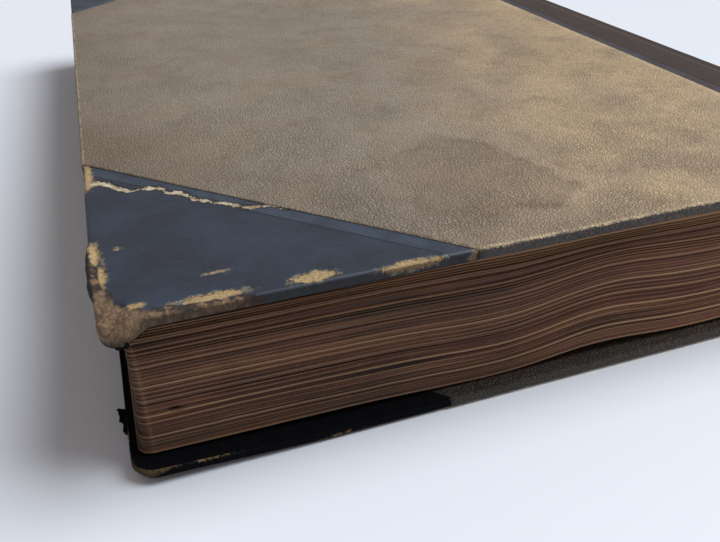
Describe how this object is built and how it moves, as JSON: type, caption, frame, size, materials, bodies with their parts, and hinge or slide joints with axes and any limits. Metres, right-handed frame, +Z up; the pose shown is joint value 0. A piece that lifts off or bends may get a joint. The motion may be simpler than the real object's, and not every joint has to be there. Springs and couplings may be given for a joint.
{
  "type": "half-leather hardback book",
  "caption": "Antique hardback book with cloth sides, leather spine and corners, cockled sewn leaves and two hinged covers, lying closed.",
  "frame": {"origin": "under the middle of the closed book, on the outer face of the rear cover that it lies on", "axes": "+X from the fore-edge to the spine, +Y from the head to the tail, +Z up through the closed book"},
  "size_m": [0.2, 0.304, 0.039],
  "materials": {
    "leaves": "matte",
    "endpaper": "matte",
    "cord": "matte",
    "mull": "matte",
    "card": "matte",
    "headband": "matte",
    "leather": "satin",
    "cloth": "matte",
    "millboard": "matte"
  },
  "bodies": {
    "leaves_and_spine": {"text_block": "leaves", "front_flyleaf": "endpaper", "rear_flyleaf": "endpaper", "sewing_cord_1": "cord", "sewing_cord_2": "cord", "sewing_cord_3": "cord", "sewing_cord_4": "cord", "sewing_cord_5": "cord", "mull_lining": "mull", "hollow_back": "card", "tail_headband": "headband", "head_headband": "headband", "spine_leather": "leather"},
    "front_cover": {"front_board": "millboard", "front_cloth_side": "cloth", "front_head_corner": "leather", "front_tail_corner": "leather", "front_hinge_leather": "leather", "front_pastedown": "endpaper"},
    "rear_cover": {"rear_board": "millboard", "rear_cloth_side": "cloth", "rear_head_corner": "leather", "rear_tail_corner": "leather", "rear_hinge_leather": "leather", "rear_pastedown": "endpaper"}
  },
  "joints": [
    {"name": "front_cover_hinge", "type": "hinge", "parent": "leaves_and_spine", "child": "front_cover", "pos_m": [0.0875, 0, 0.039], "axis": [0, 1, 0], "range_deg": [0, 180]},
    {"name": "rear_cover_hinge", "type": "hinge", "parent": "leaves_and_spine", "child": "rear_cover", "pos_m": [0.0875, 0, 0], "axis": [0, -1, 0], "range_deg": [0, 180]}
  ]
}
